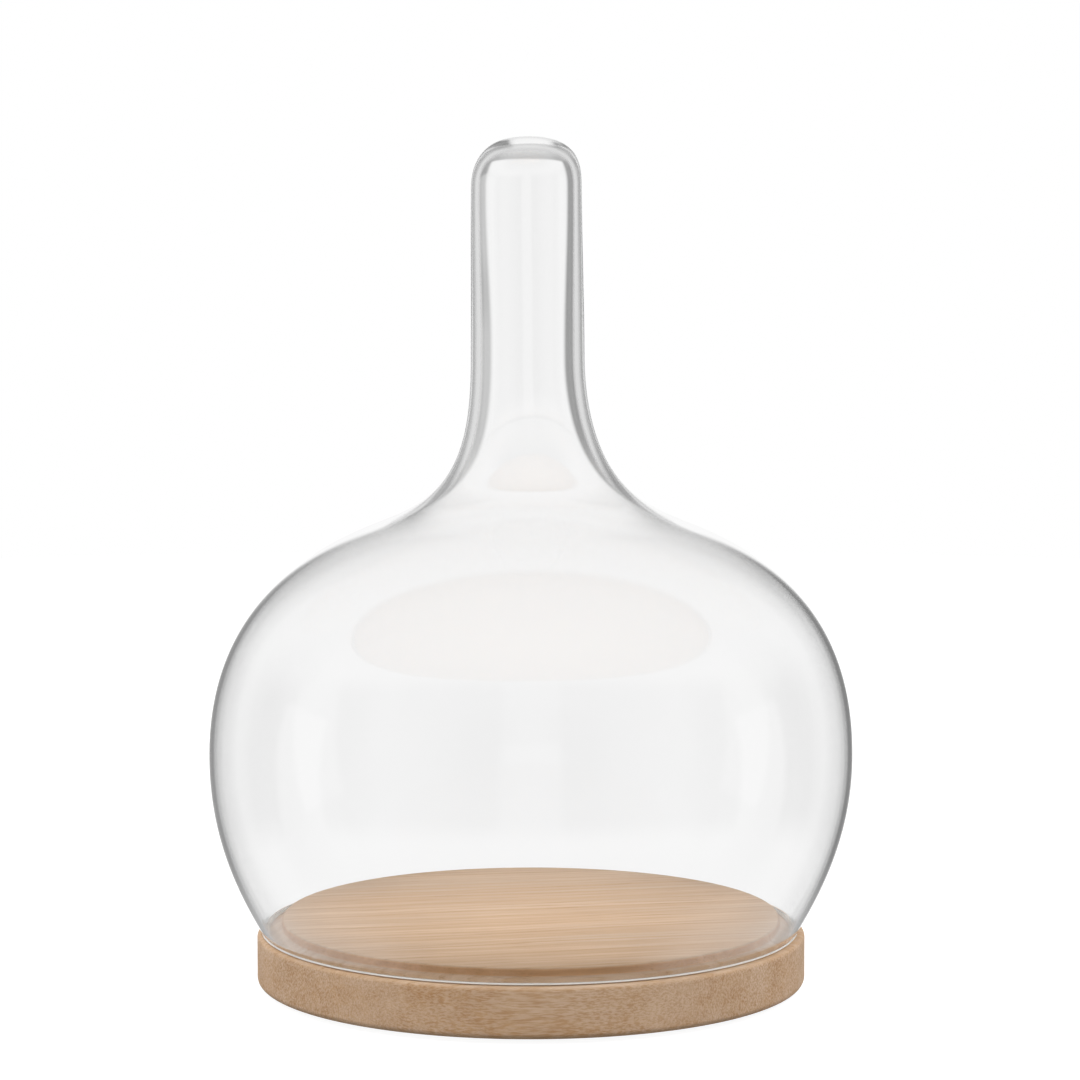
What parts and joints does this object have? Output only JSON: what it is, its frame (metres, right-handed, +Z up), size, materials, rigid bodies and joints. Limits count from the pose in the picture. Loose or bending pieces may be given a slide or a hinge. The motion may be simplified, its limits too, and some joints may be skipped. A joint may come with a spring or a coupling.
{
  "type": "bell jar dome",
  "caption": "Blown clear glass dome with a long closed neck as its handle, standing on the ledge of a turned ash base that displays and covers a small exhibit.",
  "frame": {"origin": "on the object's axis, at the surface that its felt pads stand on", "axes": "+Z up along the axis of the dome and of the base; +X to the right and +Y away from a viewer in front; the grain of the base runs mostly along X"},
  "size_m": [0.248, 0.248, 0.3276],
  "materials": {
    "clear_glass": "clear mouth-blown glass, fire bright, with a ground and polished rim",
    "ash_wood": "pale ash, turned, fine sanded and matt lacquered, grain running across the base",
    "grey_felt": "thin pressed wool felt, self-adhesive"
  },
  "bodies": {
    "base": {"turned_base": "ash_wood", "felt_pad_1": "grey_felt", "felt_pad_2": "grey_felt", "felt_pad_3": "grey_felt", "felt_pad_4": "grey_felt"},
    "dome": {"glass_dome": "clear_glass"}
  },
  "joints": [
    {"name": "dome_lift", "type": "slide", "parent": "base", "child": "dome", "axis": [0, 0, 1], "range_m": [0, 0.2]}
  ]
}
